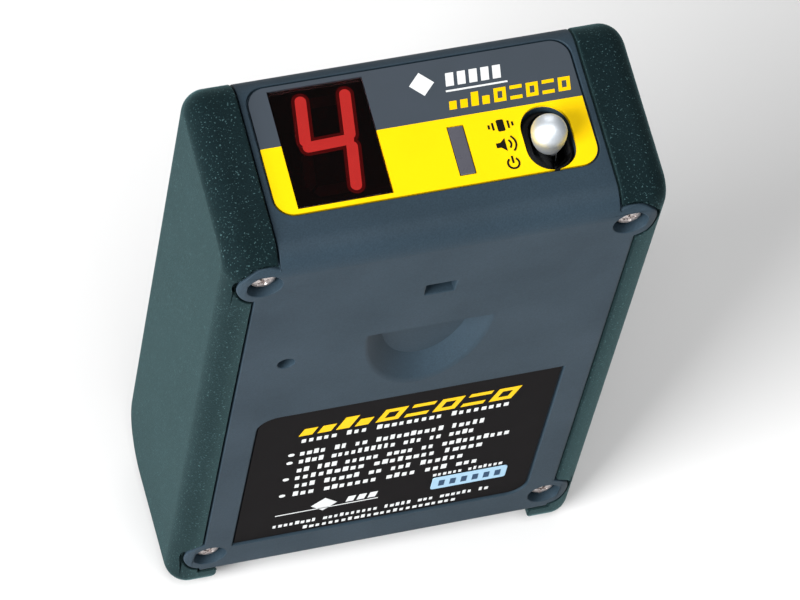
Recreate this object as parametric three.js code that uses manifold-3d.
// Pocket radiation detector: a grey plastic case between two rubber side grips.
// +X is the case's right, -Y is out of its main face, +Z runs up its length to the display end.
// The origin is the middle of the base that it stands on. All sizes are in millimetres.
import * as THREE from "three";
import { mergeVertices } from "three/addons/utils/BufferGeometryUtils.js";
import Module from "manifold-3d";

const wasm = await Module();
wasm.setup();

// ---- Driving dimensions ----
const HEIGHT = 93; // from the feet to the line where the main face meets the display end
const TILT = THREE.MathUtils.degToRad(3.9); // the display end rises towards the back
const GAP = 0.3; // clearance round pieces that nest
const SEAT = 0.1; // clearance under pieces that rest flat on each other
const SIDE_ROOM = 0.65; // spare room beside the tube and its clips
const DEPTH_ROOM = 1.75; // spare room between the main board and the battery tray

const EDGE_ROUND = 3.2; // round along the grips' outer edges
const CASE_ROUNDS = { frontBottom: 1.4, backBottom: 10, backTop: 3.8, fold: 4 };
const GRIP_ROUNDS = { frontBottom: 3.6, backBottom: 10, backTop: 4.4, fold: 4.6 };

const GRIP_WALL = 3.0; // grip thickness and its clearance, at the sides
const FOOT = 4.5; // how far the grips reach below the case: the unit stands on them
const END_PROUD = 0.6; // how far the grips stand proud of the display end
const LIP = 1.7; // depth of the step in the case that a grip's lip sits in
const LIP_REACH = 3.9; // how far a lip reaches over the main face and the back
const END_LIP_REACH = 6.8; // how far it reaches over the display end and under the base
const WALL = 2.2; // case walls at the front, back and bottom
const END_WALL = 3.2; // case wall at the display end
const SIDE_WALL = 1.8;
const REAR_DEPTH = 7.5; // depth of the rear cover, from its joint with the front shell
const END_SKIRT = 4.8; // the front shell keeps this much of the display end, right to the back

const SCREW_IN = 5.25; // screws, in from the sides
const SCREW_DROP = 5.3; // top screws, below the fold line
const SCREW_RISE = 5.1; // bottom screws, above the case's bottom
const SCREW_HEAD = { radius: 1.75, height: 1.3 };
const SCREW_SHANK = { radius: 0.85, bite: 4.6 }; // the bite is its length in the rear cover
const SCREW_CROSS = { reach: 1.2, width: 0.45, depth: 0.7 };
const COUNTERBORE = { clearance: 0.65, depth: 2.2 };
const LOBE_WALL = 1.6; // plastic round each counterbore, which the grip is notched for
const BOSS_WALL = 1.45;
const BOARD_CLEARANCE = 0.75; // between the boards' edges and the screw bosses

const LABEL = { width: 43.4, height: 37.9, rise: 7, depth: 0.6, thickness: 0.25, corner: 3 };
const STICKER = { x: 12.2, rise: 7.9, width: 11, height: 3.4, thickness: 0.12, corner: 0.4, lift: 0.03 };
const SCOOP = { drop: 24.1, halfWidth: 8.7, reach: 15.4, floorWidth: 6.2, depth: 2 };
const NOTCH = { drop: 14, width: 4.1, height: 2.6, depth: 1.6 };
const PAD = { margin: 1.8, thickness: 1.6, overlap: 0.1 }; // thicker wall behind scoop and notch
const SOUND_HOLE = { drop: 27.9, radius: 1.2 };

const OVERLAY = { margin: 1.1, near: 6.5, far: 25.5, depth: 0.8, thickness: 0.5, corner: 2.8 };
const WINDOW = { x: -12.6, middle: 16, width: 12.6, length: 16.9, thickness: 0.8, sink: 0.25 };
const DISPLAY = { depth: 8, faceBelow: 1.5, pocket: 0.5 };
const DIGIT = { height: 14.2, width: 7.6, stroke: 1.6, thickness: 0.35, split: 0.3, lean: 0.14 };
const DIGIT_MIDDLE = 16.2;
const SEGMENT_FIT = { side: 0.05, below: 0.08 }; // clearance of a bar in its pocket
const STRIP = { x: 4.05, middle: 11.75, width: 2.1, length: 7, depth: 2.4, sink: 0.2 };
const LED = { width: 2, length: 4.8 };
const SLOT = { x: 15.8, middle: 11.5, width: 6.75, length: 9.45 };
const LEVER = { tip: 2.4, neck: 1.15, tipAbove: 1.5, pivotBelow: 6.4, foot: 1.2 };
const LEVER_SET = { aside: 0.9, lean: 0.14 }; // the lever sits askew: its foot to the right, its tip back
const BUSHING = { top: 1.5, thickness: 1.5, neckRoom: 1.05, endWall: 1.125, holeAside: 0.3 };
const TOGGLE_CASE = { sideOver: 0.325, endOver: 1.475, top: 3.6, height: 5.7, wall: 0.9 };
const TOGGLE_MOUTH = { sideIn: 0.775, endIn: 1.325 };

const DISPLAY_PCB = { frontRoom: 1.4, backRoom: 2.4, thickness: 1.2 };
const MAIN_PCB = { rise: 4, below: 1.6, beeperRoom: 0.9, thickness: 1.6 };
const RIBBON = { width: 9, thickness: 0.3, x: 9, overlap: 6, bend: 3, slope: 2, tab: 2 };
const TUBE = { back: 8.9, rise: 13, length: 46, radius: 3.4, cap: 1.4, pin: 0.6, pinLength: 3, waist: 0.25 };
const TUBE_CLIP = { height: 3, thickness: 0.5, foot: 1.0, inset: 8, leg: 1, reach: 2.6, mouth: 2 };
const TRANSFORMER = { width: 10, depth: 5.6, height: 4.8 };
const CHIP = { x: 2, rise: 20, size: 8, thickness: 1.2 };
const CAPACITOR = { radius: 2.1, length: 8.5, rises: [36, 44], aside: 2.2 };
const BEEPER = { radius: 4.6, height: 3, port: 0.8, aside: 1.1 };
const MOTOR = { back: 9.3, rise: 12, radius: 3, length: 11, shaft: 0.6, shaftLength: 5.4, aside: 1.8 };
const MOTOR_WEIGHT = { radius: 2.8, height: 3.6, clearance: 0.8, bore: 0.05, hub: 0.9 };

const CELL = { radius: 7.25, length: 49.4, nubRadius: 2.7, nub: 1.1, between: 0.7, behind: 0.45 };
const TRAY = { wall: 1.0, floor: 1.0, rise: 9.8, springRoom: 5.6, contactRoom: 1.4 };
const TRAY_RIDGE = { halfWidth: 1.4, height: 1.7, sink: 0.1 };
const SPRING = { radius: 3.4, wire: 0.35, turns: 3.5, length: 4.6, clearance: 0.6 };
const CONTACT = { width: 8, height: 9, thickness: 0.4, clearance: 0.2 };
const DOOR = { endOver: 3.7, topShort: 2.8, thickness: 1.9, rib: 0.4, ribWidth: 2, ribEnd: 8 };

// ---- Worked out from them ----
// The case is as wide and as deep as its contents and their walls.
const CELL_PITCH = 2 * CELL.radius + CELL.between;
const TRAY_HALF = CELL_PITCH / 2 + CELL.radius + GAP + TRAY.wall;
const CLIP_RADIUS = TUBE.radius + GAP + TUBE_CLIP.thickness;
const CAVITY_HALF = TRAY_HALF + 2 * CLIP_RADIUS + SIDE_ROOM;
const CORE_HALF = CAVITY_HALF + SIDE_WALL; // half width of the case under the grips
const WIDTH = 2 * (CORE_HALF + GRIP_WALL);
const BOARD_FRONT = WALL + BEEPER.height + MAIN_PCB.beeperRoom; // behind the main face
const TRAY_BEHIND = BOARD_FRONT + MAIN_PCB.thickness + DEPTH_ROOM; // its floor, behind the main face
const DOOR_DEPTH = DOOR.thickness + DOOR.rib + CELL.behind;
const DEPTH = TRAY_BEHIND + TRAY.floor + GAP + 2 * CELL.radius + DOOR_DEPTH;

const FRONT_Y = -DEPTH / 2;
const BACK_Y = DEPTH / 2;
const PARTING_Y = BACK_Y - REAR_DEPTH;
const FACE_HALF = WIDTH / 2 - LIP_REACH; // half width of the main face between the lips
const END_HALF = WIDTH / 2 - END_LIP_REACH;
const SCREW_X = WIDTH / 2 - SCREW_IN;
const SCREWS = [
  [-SCREW_X, HEIGHT - SCREW_DROP],
  [SCREW_X, HEIGHT - SCREW_DROP],
  [-SCREW_X, FOOT + SCREW_RISE],
  [SCREW_X, FOOT + SCREW_RISE],
];
const COUNTERBORE_RADIUS = SCREW_HEAD.radius + COUNTERBORE.clearance;
const LOBE_RADIUS = COUNTERBORE_RADIUS + LOBE_WALL;
const BOSS_RADIUS = SCREW_SHANK.radius + GAP + BOSS_WALL;
const BOARD_HALF = SCREW_X - BOSS_RADIUS - BOARD_CLEARANCE;
const SCREW_HEAD_Y = FRONT_Y + COUNTERBORE.depth - SCREW_HEAD.height - SEAT;
const SCREW_TIP_Y = PARTING_Y + SCREW_SHANK.bite;
const SCREW_LENGTH = SCREW_TIP_Y - SCREW_HEAD_Y - SCREW_HEAD.height;
const SOUND_HOLE_X = BEEPER.radius + BEEPER.aside - CAVITY_HALF;

const CELL_Y = BACK_Y - DOOR_DEPTH - CELL.radius;
const TRAY_BOTTOM = FOOT + TRAY.rise;
const TRAY_LENGTH = TRAY.springRoom + CELL.length + CELL.nub + TRAY.contactRoom;
const CELL_BOTTOM = TRAY_BOTTOM + TRAY.wall + TRAY.springRoom;
const TRAY_TOP = TRAY_BOTTOM + 2 * TRAY.wall + TRAY_LENGTH;
const TRAY_FRONT = CELL_Y - CELL.radius - GAP - TRAY.floor;
const DOOR_HALF = TRAY_HALF - TRAY.wall + GAP + SEAT + 0.05;
const DOOR_BOTTOM = TRAY_BOTTOM + DOOR.endOver;
const DOOR_TOP = TRAY_TOP - DOOR.topShort;
const PCB_FRONT = FRONT_Y + BOARD_FRONT;
const PCB_BACK = PCB_FRONT + MAIN_PCB.thickness;
const WALL_INNER_Y = FRONT_Y + WALL;
const DISPLAY_PCB_TOP = DISPLAY.faceBelow + DISPLAY.depth + GAP; // below the end face
const MAIN_PCB_TOP = HEIGHT - DISPLAY_PCB_TOP - DISPLAY_PCB.thickness - MAIN_PCB.below;
const OVERLAY_HALF = END_HALF - OVERLAY.margin;
const TUBE_AT = [CAVITY_HALF - CLIP_RADIUS - SIDE_ROOM * 0.6, PCB_BACK + TUBE.back, FOOT + TUBE.rise];
const MOTOR_AT = [MOTOR.radius + MOTOR.aside - CAVITY_HALF, PCB_BACK + MOTOR.back, FOOT + MOTOR.rise];

// The display end's own frame: local X across, Y back along the end face, Z out of it.
const END_FRAME = new THREE.Matrix4().makeRotationX(TILT).setPosition(0, FRONT_Y, HEIGHT);

// ---- Solids from three.js geometry ----
function solid(geometry, matrix = new THREE.Matrix4()) {
  const bare = geometry.index ? geometry.toNonIndexed() : geometry.clone();
  bare.deleteAttribute("normal");
  bare.deleteAttribute("uv");
  const merged = mergeVertices(bare.applyMatrix4(matrix), 1e-4);
  return new wasm.Manifold(
    new wasm.Mesh({
      numProp: 3,
      vertProperties: merged.attributes.position.array,
      triVerts: new Uint32Array(merged.index.array),
    }),
  );
}

function geometryOf(body) {
  const mesh = body.getMesh();
  const geometry = new THREE.BufferGeometry();
  geometry.setAttribute("position", new THREE.BufferAttribute(mesh.vertProperties, 3));
  geometry.setIndex(new THREE.BufferAttribute(mesh.triVerts, 1));
  geometry.computeVertexNormals();
  return geometry;
}

const cut = (body, ...tools) => tools.reduce((left, tool) => left.subtract(tool), body);
const join = (...bodies) => bodies.reduce((sum, body) => sum.add(body));

// A box between three pairs of limits.
function block([x0, x1], [y0, y1], [z0, z1], matrix) {
  const box = new THREE.BoxGeometry(x1 - x0, y1 - y0, z1 - z0);
  return solid(box.translate((x0 + x1) / 2, (y0 + y1) / 2, (z0 + z1) / 2), matrix);
}

// A closed outline of corners [x, y, radius], each rounded by a true arc.
function outline(corners) {
  const shape = new THREE.Shape();
  corners.forEach(([x, y, radius], i) => {
    const corner = new THREE.Vector2(x, y);
    const [px, py] = corners[(i + corners.length - 1) % corners.length];
    const [nx, ny] = corners[(i + 1) % corners.length];
    const back = new THREE.Vector2(px, py).sub(corner).normalize();
    const ahead = new THREE.Vector2(nx, ny).sub(corner).normalize();
    const half = Math.acos(THREE.MathUtils.clamp(back.dot(ahead), -1, 1)) / 2;
    const start = corner.clone().addScaledVector(back, radius / Math.tan(half));
    if (i) shape.lineTo(start.x, start.y);
    else shape.moveTo(start.x, start.y);
    if (!radius) return;
    const end = corner.clone().addScaledVector(ahead, radius / Math.tan(half));
    const centre = back.clone().add(ahead).normalize();
    centre.multiplyScalar(radius / Math.sin(half)).add(corner);
    const from = start.clone().sub(centre).angle();
    const to = end.clone().sub(centre).angle();
    shape.absarc(centre.x, centre.y, radius, from, to, back.cross(ahead) > 0);
  });
  shape.closePath();
  return shape;
}

// A rectangle with one radius, or four from the low corner round anticlockwise.
function rectangle([x0, x1], [y0, y1], radius = 0) {
  const [a, b, c, d] = Array.isArray(radius) ? radius : [radius, radius, radius, radius];
  return outline([
    [x0, y0, a],
    [x1, y0, b],
    [x1, y1, c],
    [x0, y1, d],
  ]);
}

const oblong = (x, y, width, length) =>
  rectangle([x - width / 2, x + width / 2], [y - length / 2, y + length / 2], width / 2 - 0.001);

// Which way an outline lies and is drawn out: its own axes and the draw direction.
const X = new THREE.Vector3(1, 0, 0);
const Y = new THREE.Vector3(0, 1, 0);
const Z = new THREE.Vector3(0, 0, 1);
const ALONG_X = new THREE.Matrix4().makeBasis(Y, Z, X); // outline in Y and Z
const ALONG_Z = new THREE.Matrix4(); // outline in X and Y
const TO_FRONT = new THREE.Matrix4().makeBasis(X, Z, Y.clone().negate()); // outline in X and Z

// An outline drawn out from one level to another along a direction's own axis.
function prism(shape, direction, from, to, { steps = 4, bevel = 0, matrix } = {}) {
  const geometry = new THREE.ExtrudeGeometry(shape, {
    depth: to - from - 2 * bevel,
    curveSegments: steps,
    bevelEnabled: bevel > 0,
    bevelThickness: bevel,
    bevelSize: bevel,
    bevelSegments: 4,
  });
  geometry.translate(0, 0, from + bevel).applyMatrix4(direction);
  return solid(geometry, matrix);
}

// A rod along Y, from one Y to another, at a point of the main face.
function rodY(x, z, radius, y0, y1, sides = 20) {
  const rod = new THREE.CylinderGeometry(radius, radius, y1 - y0, sides);
  return solid(rod.translate(x, (y0 + y1) / 2, z));
}

// A rod along Z.
function rodZ(x, y, radius, z0, z1, sides = 20) {
  const rod = new THREE.CylinderGeometry(radius, radius, z1 - z0, sides).rotateX(Math.PI / 2);
  return solid(rod.translate(x, y, (z0 + z1) / 2));
}

// A turned solid on the Z axis, from its profile of [radius, z] points off the axis.
function turned(profile, sides = 20) {
  const points = profile.map(([radius, z]) => new THREE.Vector2(radius, z));
  return new THREE.LatheGeometry(points, sides).rotateX(Math.PI / 2);
}

// ---- The body's side view ----
// Corner radii after an outline is set in from each face: they shrink with it.
const shrunk = (rounds, { front, back, bottom, end }) => ({
  frontBottom: rounds.frontBottom - Math.min(front, bottom),
  backBottom: rounds.backBottom - Math.min(back, bottom),
  backTop: rounds.backTop - Math.min(back, end),
  fold: rounds.fold - Math.min(front, end),
});

// An outline in Y and Z, set in from each face by its own amount.
function sideView(insets, rounds = shrunk(CASE_ROUNDS, insets)) {
  const y0 = FRONT_Y + insets.front;
  const y1 = BACK_Y - insets.back;
  const z0 = FOOT + insets.bottom;
  const topAt = (y) => HEIGHT + (y - FRONT_Y) * Math.tan(TILT) - insets.end / Math.cos(TILT);
  return outline([
    [y0, z0, Math.max(GAP, rounds.frontBottom)],
    [y1, z0, Math.max(GAP, rounds.backBottom)],
    [y1, topAt(y1), Math.max(GAP, rounds.backTop)],
    [y0, topAt(y0), Math.max(GAP, rounds.fold)],
  ]);
}
const evenly = (inset) => ({ front: inset, back: inset, bottom: inset, end: inset });
const acrossBody = (inset, half) => prism(sideView(inset), ALONG_X, -half, half);

// The outside of both grips as one block, flush with the main face and the back.
const gripInset = {
  front: EDGE_ROUND,
  back: EDGE_ROUND,
  bottom: EDGE_ROUND - FOOT,
  end: EDGE_ROUND - END_PROUD,
};
const gripRounds = shrunk(GRIP_ROUNDS, evenly(EDGE_ROUND));
const fullBody = prism(sideView(gripInset, gripRounds), ALONG_X, -WIDTH / 2, WIDTH / 2, {
  bevel: EDGE_ROUND,
});
const BIG = WIDTH * 2;
const aboveScrews = block([-BIG, BIG], [-BIG, BIG], [HEIGHT - SCREW_DROP, BIG]);
// The side of the joint that belongs to the rear cover, set back by a clearance.
const rearSide = (clearance) =>
  block([-BIG, BIG], [PARTING_Y + clearance, BIG], [-BIG, BIG]).subtract(
    block([-BIG, BIG], [-BIG, BIG], [-END_SKIRT - clearance, BIG], END_FRAME),
  );

// The whole case before it is split: main block, steps under the lips and screw lobes.
function caseBlock() {
  const face = acrossBody(evenly(0), FACE_HALF - GAP).subtract(aboveScrews);
  const end = acrossBody(evenly(0), END_HALF - GAP);
  const core = acrossBody(evenly(LIP), CORE_HALF);
  const cavity = { front: WALL, back: WALL, bottom: WALL, end: END_WALL };
  const hollow = acrossBody(cavity, CAVITY_HALF);
  const lobes = SCREWS.map(([x, z]) =>
    rodY(x, z, LOBE_RADIUS - GAP, FRONT_Y - 1, FRONT_Y + LIP * 2, 28).intersect(fullBody),
  );
  const bosses = SCREWS.map(([x, z]) =>
    rodY(x, z, BOSS_RADIUS, FRONT_Y + LIP, BACK_Y - LIP, 16).intersect(core),
  );
  const walls = cut(join(face, end, core, ...lobes), hollow);
  const bores = SCREWS.map(([x, z]) =>
    rodY(x, z, SCREW_SHANK.radius + GAP, FRONT_Y - 1, SCREW_TIP_Y + GAP, 12),
  );
  return cut(join(walls, ...bosses), ...bores);
}

// ---- Case ----
const wholeCase = caseBlock();
const LABEL_BOTTOM = FOOT + LABEL.rise;
const labelArea = rectangle(
  [-LABEL.width / 2, LABEL.width / 2],
  [LABEL_BOTTOM, LABEL_BOTTOM + LABEL.height],
  [0, LABEL.corner, 0, LABEL.corner],
);
const overlayArea = rectangle(
  [-OVERLAY_HALF, OVERLAY_HALF],
  [OVERLAY.near, OVERLAY.far],
  OVERLAY.corner,
);

// A hole through the end wall, in the display end's frame.
const endHole = (shape, steps = 5) =>
  prism(shape, ALONG_Z, -END_WALL - 1, 1, { steps, matrix: END_FRAME });

function rectangleAt({ x, middle, width, length }, grow = 0, radius = 0) {
  const w = width / 2 + grow;
  const l = length / 2 + grow;
  return rectangle([x - w, x + w], [middle - l, middle + l], radius);
}

function scoop() {
  // A half ellipse with a flat upper edge, deepest along that edge.
  const bowl = new THREE.CylinderGeometry(SCOOP.halfWidth, SCOOP.floorWidth, SCOOP.depth, 40);
  const stretch = new THREE.Matrix4().makeScale(1, 1, SCOOP.reach / SCOOP.halfWidth);
  const facing = new THREE.Matrix4().makeRotationX(Math.PI);
  const place = new THREE.Matrix4().makeTranslation(0, FRONT_Y + SCOOP.depth / 2, HEIGHT - SCOOP.drop);
  const ellipse = solid(bowl, place.multiply(facing).multiply(stretch));
  return ellipse.subtract(block([-BIG, BIG], [-BIG, BIG], [HEIGHT - SCOOP.drop, BIG]));
}

function frontShell() {
  const padHalf = SCOOP.halfWidth + PAD.margin;
  const pad = block(
    [-padHalf, padHalf],
    [WALL_INNER_Y - PAD.overlap, WALL_INNER_Y + PAD.thickness],
    [HEIGHT - SCOOP.drop - SCOOP.reach - PAD.margin, HEIGHT - NOTCH.drop + NOTCH.height / 2 + PAD.margin],
  );
  const counterbores = SCREWS.map(([x, z]) =>
    rodY(x, z, COUNTERBORE_RADIUS, FRONT_Y - 1, FRONT_Y + COUNTERBORE.depth, 24),
  );
  return cut(
    wholeCase.add(pad),
    rearSide(0),
    prism(labelArea, TO_FRONT, -FRONT_Y - LABEL.depth, -FRONT_Y + 1),
    prism(overlayArea, ALONG_Z, -OVERLAY.depth, 1, { steps: 5, matrix: END_FRAME }),
    scoop(),
    block(
      [-NOTCH.width / 2, NOTCH.width / 2],
      [FRONT_Y - 1, FRONT_Y + NOTCH.depth],
      [HEIGHT - NOTCH.drop - NOTCH.height / 2, HEIGHT - NOTCH.drop + NOTCH.height / 2],
    ),
    rodY(SOUND_HOLE_X, HEIGHT - SOUND_HOLE.drop, SOUND_HOLE.radius, FRONT_Y - 1, WALL_INNER_Y + 1),
    endHole(rectangleAt(WINDOW, GAP)),
    endHole(rectangleAt(STRIP, GAP)),
    endHole(oblong(SLOT.x, SLOT.middle, SLOT.width, SLOT.length)),
    ...counterbores,
  );
}

function rearCover() {
  const opening = block(
    [-DOOR_HALF - GAP, DOOR_HALF + GAP],
    [BACK_Y - WALL - 1, BACK_Y + 1],
    [DOOR_BOTTOM - GAP, DOOR_TOP + GAP],
  );
  return cut(wholeCase.intersect(rearSide(GAP)), opening);
}

function batteryDoor() {
  const { rib, ribWidth, ribEnd, thickness } = DOOR;
  const plate = block([-DOOR_HALF, DOOR_HALF], [BACK_Y - thickness, BACK_Y], [DOOR_BOTTOM, DOOR_TOP]);
  const ribs = [-CELL_PITCH / 2, CELL_PITCH / 2].map((x) =>
    block(
      [x - ribWidth / 2, x + ribWidth / 2],
      [BACK_Y - thickness - rib, BACK_Y - thickness / 2],
      [DOOR_BOTTOM + ribEnd, DOOR_TOP - ribEnd],
    ),
  );
  return join(plate, ...ribs);
}

// A rubber sleeve down one side: side is 1 at the right and -1 at the left.
function grip(side) {
  const edge = (inner) => (side > 0 ? [inner, BIG] : [-BIG, -inner]);
  const sideZone = block(edge(FACE_HALF), [-BIG, BIG], [-BIG, BIG]);
  const endZone = block(edge(END_HALF), [-BIG, BIG], [HEIGHT - SCREW_DROP, BIG]);
  const core = acrossBody(evenly(LIP - GAP), CORE_HALF + GAP);
  const underCase = block(edge(END_HALF), [-BIG, BIG], [-BIG, FOOT + SCREW_RISE]);
  const foot = fullBody.intersect(underCase).subtract(acrossBody(evenly(-GAP), BIG));
  const notches = SCREWS.filter(([x]) => x * side > 0).map(([x, z]) =>
    rodY(x, z, LOBE_RADIUS, FRONT_Y - 1, FRONT_Y + LIP * 2 + GAP, 28),
  );
  return cut(fullBody.intersect(sideZone.add(endZone)), core, ...notches).add(foot);
}

// ---- Labels ----
const LABEL_BACK = -FRONT_Y - LABEL.depth + SEAT; // measured out of the case, along -Y

function instructionLabel() {
  const area = rectangle(
    [-LABEL.width / 2 + GAP, LABEL.width / 2 - GAP],
    [LABEL_BOTTOM + GAP, LABEL_BOTTOM + LABEL.height - GAP],
    [0, LABEL.corner - GAP, 0, LABEL.corner - GAP],
  );
  return prism(area, TO_FRONT, LABEL_BACK, LABEL_BACK + LABEL.thickness);
}

function serialSticker() {
  const back = LABEL_BACK + LABEL.thickness + STICKER.lift;
  const middle = LABEL_BOTTOM + STICKER.rise;
  const area = rectangle(
    [STICKER.x - STICKER.width / 2, STICKER.x + STICKER.width / 2],
    [middle - STICKER.height / 2, middle + STICKER.height / 2],
    STICKER.corner,
  );
  return prism(area, TO_FRONT, back, back + STICKER.thickness, { steps: 2 });
}

// ---- Display end, in its own frame: outward is +Z, the outer face is Z = 0 ----
function displayOverlay() {
  const sheet = rectangle(
    [-OVERLAY_HALF + GAP, OVERLAY_HALF - GAP],
    [OVERLAY.near + GAP, OVERLAY.far - GAP],
    OVERLAY.corner - GAP,
  );
  const bottom = -OVERLAY.depth + SEAT;
  const through = (shape) => prism(shape, ALONG_Z, -2, 1, { steps: 5 });
  return cut(
    prism(sheet, ALONG_Z, bottom, bottom + OVERLAY.thickness, { steps: 5 }),
    through(rectangleAt(WINDOW, GAP)),
    through(rectangleAt(STRIP, GAP)),
    through(oblong(SLOT.x, SLOT.middle, SLOT.width, SLOT.length)),
  );
}

const displayWindow = () =>
  prism(rectangleAt(WINDOW), ALONG_Z, -WINDOW.sink - WINDOW.thickness, -WINDOW.sink);

const DISPLAY_FACE = -DISPLAY.faceBelow;

// Outlines of the seven bars of the digit, each with pointed ends, leaning like the digit.
function segmentOutline(name, inset = 0) {
  const w = DIGIT.width / 2 - DIGIT.stroke / 2;
  const h = DIGIT.height / 2 - DIGIT.stroke / 2;
  const ends = {
    a: [-w, h, w, h],
    b: [w, h, w, 0],
    c: [w, 0, w, -h],
    d: [-w, -h, w, -h],
    e: [-w, 0, -w, -h],
    f: [-w, h, -w, 0],
    g: [-w, 0, w, 0],
  }[name];
  const from = new THREE.Vector2(ends[0], ends[1]);
  const to = new THREE.Vector2(ends[2], ends[3]);
  const along = to.clone().sub(from).normalize();
  const across = new THREE.Vector2(-along.y, along.x);
  const half = DIGIT.stroke / 2 - inset;
  const tip = DIGIT.split + inset * Math.SQRT2;
  const point = (base, forward, aside) => {
    const p = base.clone().addScaledVector(along, forward).addScaledVector(across, aside);
    return [WINDOW.x + p.x + p.y * DIGIT.lean, DIGIT_MIDDLE + p.y, 0];
  };
  return outline([
    point(from, tip, 0),
    point(from, tip + half, -half),
    point(to, -tip - half, -half),
    point(to, -tip, 0),
    point(to, -tip - half, half),
    point(from, tip + half, half),
  ]);
}
const SEGMENTS = ["a", "b", "c", "d", "e", "f", "g"];
const LIT = ["b", "c", "f", "g"];

function displayPackage() {
  const body = prism(rectangleAt(WINDOW), ALONG_Z, DISPLAY_FACE - DISPLAY.depth, DISPLAY_FACE);
  const pockets = SEGMENTS.map((name) =>
    prism(segmentOutline(name), ALONG_Z, DISPLAY_FACE - DISPLAY.pocket, DISPLAY_FACE + 1),
  );
  return cut(body, ...pockets);
}

function segment(name) {
  const bottom = DISPLAY_FACE - DISPLAY.pocket + SEGMENT_FIT.below;
  return prism(segmentOutline(name, SEGMENT_FIT.side), ALONG_Z, bottom, bottom + DIGIT.thickness);
}

const indicatorLens = () => prism(rectangleAt(STRIP), ALONG_Z, -STRIP.sink - STRIP.depth, -STRIP.sink);

function indicatorLed() {
  const top = -STRIP.sink - STRIP.depth - GAP;
  return block(
    [STRIP.x - LED.width / 2, STRIP.x + LED.width / 2],
    [STRIP.middle - LED.length / 2, STRIP.middle + LED.length / 2],
    [SEAT - DISPLAY_PCB_TOP, top],
  );
}

function toggleBushing() {
  const outer = oblong(SLOT.x, SLOT.middle, SLOT.width - 2 * GAP, SLOT.length - 2 * GAP);
  const holeWidth = 2 * (LEVER.neck + BUSHING.neckRoom);
  const holeLength = SLOT.length - 2 * BUSHING.endWall;
  const hole = oblong(SLOT.x + BUSHING.holeAside, SLOT.middle, holeWidth, holeLength);
  const bottom = -BUSHING.top - BUSHING.thickness;
  return cut(
    prism(outer, ALONG_Z, bottom, -BUSHING.top, { steps: 5 }),
    prism(hole, ALONG_Z, bottom - 1, 1, { steps: 4 }),
  );
}

// The lever is a bat: a domed tip that narrows to a neck, with a round foot at its pivot.
function toggleLever() {
  const reach = LEVER.tipAbove + LEVER.pivotBelow;
  const dome = [];
  for (let i = 0; i <= 8; i += 1) {
    const angle = THREE.MathUtils.lerp(-0.35, Math.PI / 2, i / 8);
    dome.push([LEVER.tip * Math.cos(angle), reach + LEVER.tip * Math.sin(angle)]);
  }
  dome[8][0] = 0;
  const profile = [[0, -LEVER.foot], [LEVER.foot * 0.8, -LEVER.foot * 0.6], [LEVER.foot, 0]];
  profile.push([LEVER.neck, LEVER.foot * 0.8], [LEVER.neck, reach * 0.3], ...dome);
  return solid(turned(profile, 24));
}

function toggleHousing() {
  const { sideOver, endOver, height, wall } = TOGGLE_CASE;
  const top = -TOGGLE_CASE.top;
  const bottom = top - height;
  // A box round the slot, that much wider and longer at each side.
  const round = (side, end, [z0, z1]) =>
    block(
      [SLOT.x - SLOT.width / 2 - side, SLOT.x + SLOT.width / 2 + side],
      [SLOT.middle - SLOT.length / 2 - end, SLOT.middle + SLOT.length / 2 + end],
      [z0, z1],
    );
  return cut(
    round(sideOver, endOver, [bottom, top]),
    round(sideOver - wall, endOver - wall, [bottom + wall, top - wall]),
    round(-TOGGLE_MOUTH.sideIn, -TOGGLE_MOUTH.endIn, [top - wall * 2, top + 1]),
  );
}

function displayPcb() {
  return block(
    [-BOARD_HALF, BOARD_HALF],
    [WALL + DISPLAY_PCB.frontRoom, DEPTH - WALL - DISPLAY_PCB.backRoom],
    [-DISPLAY_PCB_TOP - DISPLAY_PCB.thickness, -DISPLAY_PCB_TOP],
  );
}

// ---- Fasteners, modelled about their own axis with the head's outer face at Z = 0 ----
function crossHead(radius, height, shankRadius, length) {
  const edge = height * 0.35;
  const profile = [
    [0, -height - length],
    [shankRadius * 0.5, -height - length],
    [shankRadius, -height - length + shankRadius],
    [shankRadius, -height],
    [radius, -height],
    [radius, -edge],
    [radius * 0.72, -edge * 0.25],
    [0, 0],
  ];
  const { reach, width, depth } = SCREW_CROSS;
  const arm = (a, b) => block([-a, a], [-b, b], [-depth, 1]);
  return cut(solid(turned(profile, 20)), arm(reach, width / 2), arm(width / 2, reach));
}

// ---- Boards and what they carry ----
function mainPcb() {
  const bottom = FOOT + WALL + MAIN_PCB.rise;
  return block([-BOARD_HALF, BOARD_HALF], [PCB_FRONT, PCB_BACK], [bottom, MAIN_PCB_TOP]);
}

// A flat cable from the top of the main board, bent up to the display board.
function displayRibbon() {
  const { thickness, width, x, overlap, bend, slope, tab } = RIBBON;
  const y0 = PCB_BACK + GAP;
  const y1 = y0 + bend;
  const z0 = MAIN_PCB_TOP - overlap;
  const z1 = HEIGHT - DISPLAY_PCB_TOP - DISPLAY_PCB.thickness - GAP;
  const path = outline([
    [y0, z0, 0],
    [y0 + thickness, z0, 0],
    [y0 + thickness, z1 - slope, 0.5],
    [y1, z1 - thickness, 0.3],
    [y1 + tab, z1 - thickness, 0],
    [y1 + tab, z1, 0],
    [y1, z1, 0.3],
    [y0, z1 - slope + thickness, 0.5],
  ]);
  return prism(path, ALONG_X, x - width / 2, x + width / 2, { steps: 2 });
}

function gmTube() {
  const { radius, cap, length, pin, pinLength, waist } = TUBE;
  const profile = [
    [0, -pinLength],
    [pin, -pinLength],
    [pin, 0],
    [radius * 0.7, 0],
    [radius, cap * 0.5],
    [radius, cap * 3],
    [radius - waist, cap * 3],
    [radius - waist, length - cap * 3],
    [radius, length - cap * 3],
    [radius, length - cap * 0.5],
    [radius * 0.7, length],
    [0, length],
  ];
  return solid(turned(profile));
}

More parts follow.
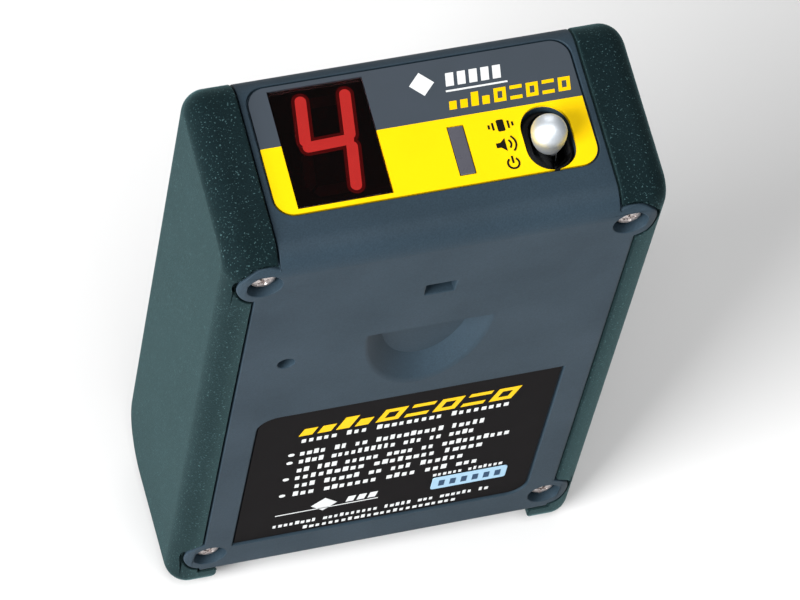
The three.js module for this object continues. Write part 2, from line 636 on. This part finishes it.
// A spring clip that grips the tube, with a foot that stands on the main board.
function tubeClip() {
  const { height, foot, leg, reach, mouth } = TUBE_CLIP;
  const z = [-height / 2, height / 2];
  const toBoard = TUBE.back - GAP;
  return cut(
    join(
      rodZ(0, 0, CLIP_RADIUS, z[0], z[1], 24),
      block([-leg, leg], [-toBoard, 0], z),
      block([-reach, leg], [-toBoard, -toBoard + foot], z),
    ),
    rodZ(0, 0, TUBE.radius + GAP, z[0] - 1, z[1] + 1, 24),
    block([-mouth, mouth], [TUBE.radius * 0.7, BIG], [z[0] - 1, z[1] + 1]),
  );
}

function capacitor() {
  const { radius, length } = CAPACITOR;
  const profile = [
    [0, 0],
    [radius, 0],
    [radius, 1],
    [radius * 0.9, 1.25],
    [radius, 1.5],
    [radius, length - 0.3],
    [radius - 0.3, length],
    [0, length],
  ];
  return solid(turned(profile, 16));
}

function beeper() {
  const { radius, height, port } = BEEPER;
  const profile = [
    [0, 0],
    [radius, 0],
    [radius, height - 0.4],
    [radius - 0.4, height],
    [port, height],
    [port, height * 0.5],
    [0, height * 0.5],
  ];
  return solid(turned(profile, 20));
}

function vibrationMotor() {
  const { radius, length, shaft, shaftLength } = MOTOR;
  const profile = [
    [0, 0],
    [radius - 0.4, 0],
    [radius, 0.4],
    [radius, length - 0.4],
    [radius - 0.4, length],
    [shaft, length],
    [shaft, length + shaftLength],
    [0, length + shaftLength],
  ];
  return solid(turned(profile, 20));
}

// A half-round weight on the motor's shaft, which turns about its own origin.
function motorWeight() {
  const { radius, height } = MOTOR_WEIGHT;
  const hub = rodZ(0, 0, MOTOR.shaft + MOTOR_WEIGHT.hub, 0, height);
  const half = rodZ(0, 0, radius, 0, height, 24).intersect(block([-BIG, BIG], [0, BIG], [-1, BIG]));
  return cut(join(hub, half), rodZ(0, 0, MOTOR.shaft + MOTOR_WEIGHT.bore, -1, height + 1));
}

// ---- Power ----
function batteryTray() {
  const inner = TRAY_HALF - TRAY.wall;
  const back = BACK_Y - WALL - GAP;
  const floor = TRAY_FRONT + TRAY.floor;
  const shell = block([-TRAY_HALF, TRAY_HALF], [TRAY_FRONT, back], [TRAY_BOTTOM, TRAY_TOP]);
  const pocket = block([-inner, inner], [floor, BIG], [TRAY_BOTTOM + TRAY.wall, TRAY_TOP - TRAY.wall]);
  const { halfWidth, height, sink } = TRAY_RIDGE;
  const ridge = outline([
    [-halfWidth, floor - sink, 0],
    [halfWidth, floor - sink, 0],
    [0, floor + height, 0],
  ]);
  const half = TRAY.wall / 2;
  return join(cut(shell, pocket), prism(ridge, ALONG_Z, TRAY_BOTTOM + half, TRAY_TOP - half));
}

function cell() {
  const { radius, length, nubRadius, nub } = CELL;
  const profile = [
    [0, 0],
    [radius - 0.8, 0],
    [radius, 0.5],
    [radius, length - 0.4],
    [radius - 0.7, length],
    [nubRadius, length],
    [nubRadius, length + nub - 0.3],
    [nubRadius - 0.3, length + nub],
    [0, length + nub],
  ];
  return solid(turned(profile, 24));
}

// A coil spring that tapers towards the cell, from a path drawn by a formula.
class CoilPath extends THREE.Curve {
  getPoint(t) {
    const angle = t * SPRING.turns * 2 * Math.PI;
    const radius = SPRING.radius * (1 - 0.4 * t);
    return new THREE.Vector3(radius * Math.cos(angle), radius * Math.sin(angle), SPRING.length * t);
  }
}

function batterySpring() {
  const wire = new THREE.Shape();
  wire.absarc(0, 0, SPRING.wire, 0, 2 * Math.PI);
  return solid(
    new THREE.ExtrudeGeometry(wire, {
      steps: Math.round(SPRING.turns * 14),
      curveSegments: 3,
      extrudePath: new CoilPath(),
    }),
  );
}

// ---- Materials ----
const finish = (color, roughness, metalness = 0) =>
  new THREE.MeshStandardMaterial({ color, roughness, metalness });
const FINISH = {
  casePlastic: finish(0x4b5a66, 0.6),
  rubber: finish(0x33403f, 0.85),
  overlay: finish(0xf6d90c, 0.45),
  window: finish(0x0a0a0b, 0.12),
  blackPlastic: finish(0x121314, 0.5),
  segmentLit: finish(0xe02a26, 0.4),
  segmentUnlit: finish(0x2a1414, 0.5),
  smokedLens: finish(0x4c4f57, 0.3),
  lever: finish(0xc8d2de, 0.25, 0.9),
  label: finish(0x1b1b1d, 0.5),
  sticker: finish(0xbfe0ec, 0.5),
  steel: finish(0xb9b4b2, 0.35, 1),
  board: finish(0x1d5a34, 0.5),
  ribbon: finish(0xc47a20, 0.5),
  tubeMetal: finish(0xc9ccd0, 0.3, 1),
  brass: finish(0xc8a457, 0.35, 1),
  ferrite: finish(0x3a3a3c, 0.7),
  capSleeve: finish(0x1c2f55, 0.4),
  cellJacket: finish(0xa87a35, 0.35, 0.5),
};

// ---- Assembly ----
const detector = new THREE.Group();
detector.name = "geiger_counter";
const displayEnd = new THREE.Group();
displayEnd.applyMatrix4(END_FRAME);
detector.add(displayEnd);

function place(parent, name, body, material, position = [0, 0, 0], turn = [0, 0, 0]) {
  const mesh = new THREE.Mesh(geometryOf(body), material);
  mesh.name = name;
  mesh.position.set(...position);
  mesh.rotation.set(...turn);
  parent.add(mesh);
}

place(detector, "front_shell", frontShell(), FINISH.casePlastic);
place(detector, "rear_cover", rearCover(), FINISH.casePlastic);
place(detector, "battery_door", batteryDoor(), FINISH.casePlastic);
place(detector, "left_grip", grip(-1), FINISH.rubber);
place(detector, "right_grip", grip(1), FINISH.rubber);
place(detector, "instruction_label", instructionLabel(), FINISH.label);
place(detector, "serial_sticker", serialSticker(), FINISH.sticker);

place(displayEnd, "display_overlay", displayOverlay(), FINISH.overlay);
place(displayEnd, "display_window", displayWindow(), FINISH.window);
place(displayEnd, "display_package", displayPackage(), FINISH.blackPlastic);
SEGMENTS.forEach((name) => {
  const lit = LIT.includes(name) ? FINISH.segmentLit : FINISH.segmentUnlit;
  place(displayEnd, `segment_${name}`, segment(name), lit);
});
place(displayEnd, "indicator_lens", indicatorLens(), FINISH.smokedLens);
place(displayEnd, "indicator_led", indicatorLed(), FINISH.blackPlastic);
place(displayEnd, "toggle_bushing", toggleBushing(), FINISH.blackPlastic);
place(displayEnd, "toggle_housing", toggleHousing(), FINISH.blackPlastic);
const pivot = [SLOT.x + LEVER_SET.aside, SLOT.middle, -LEVER.pivotBelow];
place(displayEnd, "toggle_lever", toggleLever(), FINISH.lever, pivot, [0, -LEVER_SET.lean, 0]);
place(displayEnd, "display_pcb", displayPcb(), FINISH.board);

const faceFront = [Math.PI / 2, 0, 0]; // turns a fastener's or a port's own +Z to the main face
SCREWS.forEach(([x, z], i) => {
  const { radius, height } = SCREW_HEAD;
  const screw = crossHead(radius, height, SCREW_SHANK.radius, SCREW_LENGTH);
  place(detector, `case_screw_${i + 1}`, screw, FINISH.steel, [x, SCREW_HEAD_Y, z], faceFront);
});

place(detector, "main_pcb", mainPcb(), FINISH.board);
place(detector, "display_ribbon", displayRibbon(), FINISH.ribbon);
place(detector, "gm_tube", gmTube(), FINISH.tubeMetal, TUBE_AT);
[TUBE_CLIP.inset, TUBE.length - TUBE_CLIP.inset].forEach((along, i) => {
  const at = [TUBE_AT[0], TUBE_AT[1], TUBE_AT[2] + along];
  place(detector, `tube_clip_${i + 1}`, tubeClip(), FINISH.brass, at);
});

const transformerY = PCB_BACK + SEAT;
const transformerZ = TRAY_TOP + GAP;
place(
  detector,
  "hv_transformer",
  block(
    [-TRANSFORMER.width, 0],
    [transformerY, transformerY + TRANSFORMER.depth],
    [transformerZ, transformerZ + TRANSFORMER.height],
  ),
  FINISH.ferrite,
);
place(
  detector,
  "microcontroller",
  block(
    [CHIP.x, CHIP.x + CHIP.size],
    [PCB_FRONT - SEAT - CHIP.thickness, PCB_FRONT - SEAT],
    [FOOT + CHIP.rise, FOOT + CHIP.rise + CHIP.size],
  ),
  FINISH.blackPlastic,
);
const capacitorX = CAPACITOR.aside - BOARD_HALF;
CAPACITOR.rises.forEach((rise, i) => {
  const at = [capacitorX, PCB_BACK + SEAT, FOOT + rise];
  place(detector, `capacitor_${i + 1}`, capacitor(), FINISH.capSleeve, at, [-Math.PI / 2, 0, 0]);
});
const beeperAt = [SOUND_HOLE_X, PCB_FRONT - SEAT, HEIGHT - SOUND_HOLE.drop];
place(detector, "piezo_beeper", beeper(), FINISH.blackPlastic, beeperAt, faceFront);
place(detector, "vibration_motor", vibrationMotor(), FINISH.tubeMetal, MOTOR_AT);
const weightZ = MOTOR_AT[2] + MOTOR.length + MOTOR_WEIGHT.clearance;
place(detector, "motor_weight", motorWeight(), FINISH.brass, [MOTOR_AT[0], MOTOR_AT[1], weightZ]);

place(detector, "battery_tray", batteryTray(), FINISH.blackPlastic);
const trayInside = { low: TRAY_BOTTOM + TRAY.wall, high: TRAY_TOP - TRAY.wall };
[-1, 1].forEach((side, i) => {
  const x = (side * CELL_PITCH) / 2;
  const flipped = side > 0; // the cells lie head to tail
  const turn = flipped ? [Math.PI, 0, 0] : [0, 0, 0];
  const cellZ = flipped ? trayInside.high - TRAY.springRoom : CELL_BOTTOM;
  place(detector, `battery_${i + 1}`, cell(), FINISH.cellJacket, [x, CELL_Y, cellZ], turn);
  const springZ = flipped ? trayInside.high - SPRING.clearance : trayInside.low + SPRING.clearance;
  place(detector, `battery_spring_${i + 1}`, batterySpring(), FINISH.steel, [x, CELL_Y, springZ], turn);
  const { width, height, thickness, clearance } = CONTACT;
  const plateLow = flipped ? trayInside.low + clearance : trayInside.high - clearance - thickness;
  const contact = block(
    [x - width / 2, x + width / 2],
    [CELL_Y - height / 2, CELL_Y + height / 2],
    [plateLow, plateLow + thickness],
  );
  place(detector, `battery_contact_${i + 1}`, contact, FINISH.steel);
});

export default detector;
